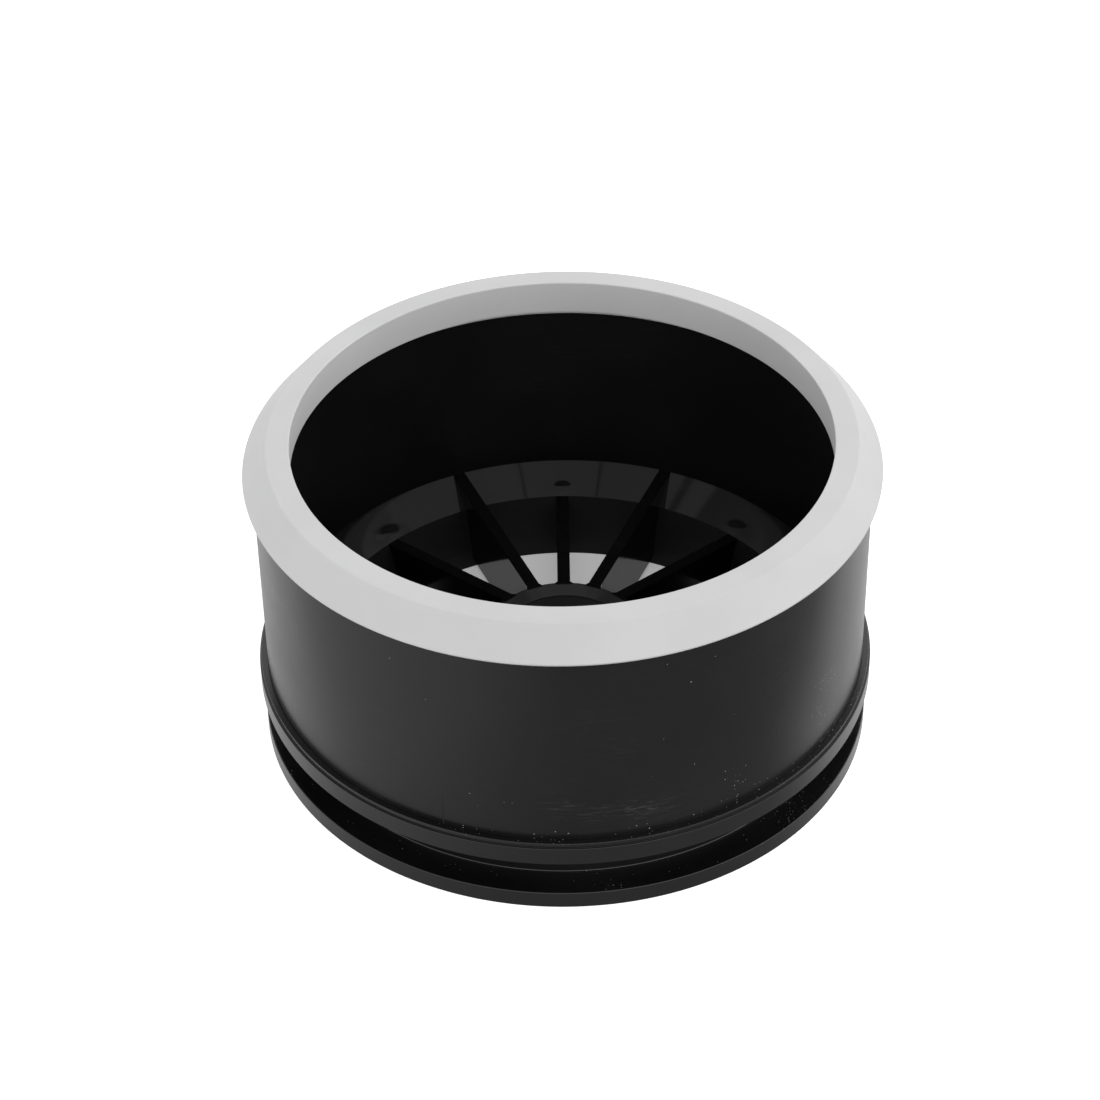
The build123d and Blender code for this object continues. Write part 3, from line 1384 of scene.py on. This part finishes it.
@dataclass
class Table:
    """White light table that the object stands on.

    The camera sees it evenly white, less bright under the object, with a stronger glow round
    the object that is painted light hiding its shadow. In reflections and bounced light its
    colour and glow carry painted shade: darker in front of the object and under the front of
    the grid.
    """

    size: float = 6.0
    tone: Colour = (0.95, 0.95, 0.95, 1.0)
    clouded_share: float = 0.985
    cloud_scale: float = 3.0
    # The next two are the table's colours seen only in reflections and bounced light: a dimmer
    # painted copy and a painted shade.
    bounce_tone: Colour = (0.78, 0.78, 0.78, 1.0)
    shaded_tone: Colour = (0.07, 0.07, 0.07, 1.0)
    # The next two are the table's own glow and a stronger glow that only the camera sees outside the
    # foot. The second is painted light that hides the shadow there.
    glow: float = 0.24
    painted_open_glow: float = 0.70
    foot_radius: float = 40.2 * MM
    open_radius: float = 41.4 * MM
    roughness: float = 0.9
    specular: float = 0.1
    # The next five shape the painted shade in front of the object, seen in reflections and bounced
    # light.
    front_shade_half_width: float = 50.0 * MM
    front_shade_slant: float = 0.84
    front_shade_edge: tuple[float, float] = (-35.0 * MM, -14.0 * MM)
    front_shade_left: tuple[float, float] = (-48.0 * MM, 6.0 * MM)
    front_shade_left_share: float = 0.47
    # The next three bound the painted shade under the front of the grid.
    hub_edge: tuple[float, float] = (10.5 * MM, 12.5 * MM)
    mouth_edge: tuple[float, float] = (33.0 * MM, 36.0 * MM)
    front_edge: tuple[float, float] = (14.0 * MM, 22.0 * MM)

    def painted_front_shade(self, nodes: NodeTree, x: Socket, y: Socket) -> Socket:
        """Mask of the painted shade in front of the object, seen in reflections and bounced light.

        It covers what is in front of a line that is level in the middle and turns back on
        either side, and it is lighter on the left.

        Args:
            nodes: the table's nodes.
            x: distance to the right of the middle.
            y: distance behind the middle.

        Returns:
            The mask's socket.
        """
        aside = nodes.math("SUBTRACT", nodes.math("ABSOLUTE", x), self.front_shade_half_width)
        reach = nodes.math("MAXIMUM", aside, 0.0)
        edge = nodes.math("MULTIPLY_ADD", reach, -self.front_shade_slant, y)
        in_front = nodes.remap(edge, *self.front_shade_edge, 1.0, 0.0)
        to_right = nodes.remap(x, *self.front_shade_left, self.front_shade_left_share, 1.0)
        return nodes.math("MULTIPLY", in_front, to_right)

    def painted_grid_shade(self, nodes: NodeTree, radius: Socket, y: Socket) -> Socket:
        """Mask of the painted shade under the front of the grid, outside the hub.

        Args:
            nodes: the table's nodes.
            radius: distance from the middle.
            y: distance behind the middle.

        Returns:
            The mask's socket.
        """
        past_hub = nodes.remap(radius, *self.hub_edge)
        in_mouth = nodes.remap(radius, *self.mouth_edge, 1.0, 0.0)
        under = nodes.math("MULTIPLY", past_hub, in_mouth)
        return nodes.math("MULTIPLY", under, nodes.remap(y, *self.front_edge, 1.0, 0.0))

    def build(self) -> None:
        """Build the table top and its material."""
        half = self.size / 2
        corners = np.array([[-half, -half, 0], [half, -half, 0], [half, half, 0], [-half, half, 0]])
        top = make_piece("table_top", corners, [[0, 1, 2, 3]])
        material, nodes, shader, place = new_material("white_table")
        cloud = nodes.noise(place, self.cloud_scale)
        clouded = tuple(self.clouded_share * channel for channel in self.tone[:3]) + (1.0,)
        tone = nodes.mix_colour(cloud, clouded, self.tone)
        x, y, _ = nodes.split(place)
        radius = nodes.length(x, y)
        grid_shade_mask = self.painted_grid_shade(nodes, radius, y)
        # painted shade in the table's colour for reflections and bounced light: in front of the
        # object and under the front of the grid
        shade = nodes.math("MAXIMUM", self.painted_front_shade(nodes, x, y), grid_shade_mask)
        # painted light and shade: the camera sees the white tone, while reflections and bounced
        # light see the dimmer painted copy
        mirrored = nodes.mix_colour(shade, self.bounce_tone, self.shaded_tone)
        seen = nodes.add("ShaderNodeLightPath").outputs["Is Camera Ray"]
        nodes.join(nodes.mix_colour(seen, mirrored, tone), shader.inputs["Base Color"])
        shader.inputs["Roughness"].default_value = self.roughness
        shader.inputs["Specular IOR Level"].default_value = self.specular
        shader.inputs["Emission Color"].default_value = WHITE
        # painted light: outside the foot only the camera sees a stronger glow, which hides the
        # object's shadow there
        seen_glow = nodes.remap(
            radius, self.foot_radius, self.open_radius, self.glow, self.painted_open_glow
        )
        # painted shade: the table's glow fades out under the front of the grid for reflections and
        # bounced light
        mirrored_glow = nodes.remap(grid_shade_mask, 0.0, 1.0, self.glow, 0.0)
        difference = nodes.math("SUBTRACT", seen_glow, mirrored_glow)
        glow = nodes.math("MULTIPLY_ADD", seen, difference, mirrored_glow)
        nodes.join(glow, shader.inputs["Emission Strength"])
        top.data.materials.append(material)


@dataclass
class Studio:
    """White room, ceiling of lamps and the camera.

    Each panel of the ceiling has a name, a left and a right edge in metres, and a glow.
    """

    horizon: float = 1.50
    zenith: float = 0.17
    right_tilt: float = 0.30
    panels: tuple[tuple[str, float, float, float], ...] = (
        ("outer_left_panel", -0.478, -0.405, 0.48),
        ("left_panel", -0.378, -0.122, 0.53),
        ("middle_panel", -0.114, 0.126, 0.57),
    )
    panel_height: float = 1.0
    panel_front: float = -0.45
    panel_back: float = 0.60
    strip_count: int = 8
    strip_start: float = 0.134
    strip_width: float = 0.055
    strip_glow: float = 0.57
    strips_to_dark: int = 11
    lens_mm: float = 97.92
    sensor_mm: float = 36.0
    nearest: float = 0.01
    farthest: float = 20.0
    camera_x: float = -0.0006
    camera_distance: float = 0.3151
    camera_height: float = 0.2296
    pitch: float = math.radians(38.321)
    yaw: float = math.radians(-0.221)
    roll: float = math.radians(-1.002)

    def build_world(self) -> None:
        """White surroundings, brightest at eye level and a little brighter on the right.

        The strength in the direction (x, y, z) is horizon - (horizon - zenith) z squared
        + tilt x.
        """
        world = bpy.data.worlds.new("white_room")
        world.use_nodes = True
        world.node_tree.nodes.clear()
        nodes = NodeTree(world.node_tree)
        output = nodes.add("ShaderNodeOutputWorld")
        background = nodes.add("ShaderNodeBackground")
        background.inputs["Color"].default_value = WHITE
        across, _, up = nodes.split(nodes.add("ShaderNodeTexCoord").outputs["Generated"])
        fall = self.zenith - self.horizon
        overhead = nodes.math("MULTIPLY", nodes.math("MULTIPLY", up, up), fall)
        level = nodes.math("ADD", overhead, self.horizon)
        strength = nodes.math("MULTIPLY_ADD", across, self.right_tilt, level)
        nodes.join(strength, background.inputs["Strength"])
        nodes.join(background.outputs[0], output.inputs["Surface"])
        bpy.context.scene.world = world

    def build_lights(self) -> None:
        """Ceiling of lamps side by side, with narrow dark bars between them.

        To the right of the last bar the lamps are a row of strips, each dimmer than the one
        before.
        """
        lamps = list(self.panels)
        for step in range(self.strip_count):
            left = self.strip_start + step * self.strip_width
            glow = self.strip_glow * (1 - step / self.strips_to_dark)
            lamps.append((f"right_strip_{step + 1}", left, left + self.strip_width, glow))
        for name, left, right, glow in lamps:
            panel = CeilingPanel(name, left, right, self.panel_front, self.panel_back, glow)
            panel.build(self.panel_height)
            LOG.info("lamp %s from %.3f to %.3f m", name, left, right)

    def build_camera(self, top: float) -> None:
        """Camera in front of the object, looking down on it.

        Args:
            top: height of the object's top.
        """
        data = bpy.data.cameras.new("camera")
        data.sensor_width = self.sensor_mm
        data.lens = self.lens_mm
        data.clip_start = self.nearest
        data.clip_end = self.farthest
        camera = bpy.data.objects.new("camera", data)
        bpy.context.scene.collection.objects.link(camera)
        turn = Matrix.Rotation(-self.yaw, 4, "Z")
        turn = turn @ Matrix.Rotation(math.pi / 2 - self.pitch, 4, "X")
        turn = turn @ Matrix.Rotation(self.roll, 4, "Z")
        camera.rotation_euler = turn.to_euler()
        camera.location = (self.camera_x, -self.camera_distance, top + self.camera_height)
        bpy.context.scene.camera = camera

    def build(self) -> None:
        """Build the table, the room, the lamps and the camera."""
        Table().build()
        self.build_world()
        self.build_lights()
        highest = cad_bounds[1]
        self.build_camera(highest.z)
        bpy.context.scene.view_settings.view_transform = "Standard"


def main() -> None:
    """Build every sub-assembly, then the studio."""
    logging.basicConfig(level=logging.INFO, format="%(name)s: %(message)s")
    effects = Effects()
    SealRing().build(SealFinish().build(effects))
    Sleeve().build(SLEEVE_FINISH.build(effects), BORE_FINISH.build(effects))
    base = Base()
    mouth_matt = MOUTH_FINISH.build(effects)
    base.build(BASE_FINISH.build(effects), mouth_matt, LEDGE_FINISH.build(effects))
    Grid().build(GRID_FINISH.build(effects), base)
    Studio().build()


if __name__ == "__main__":
    main()
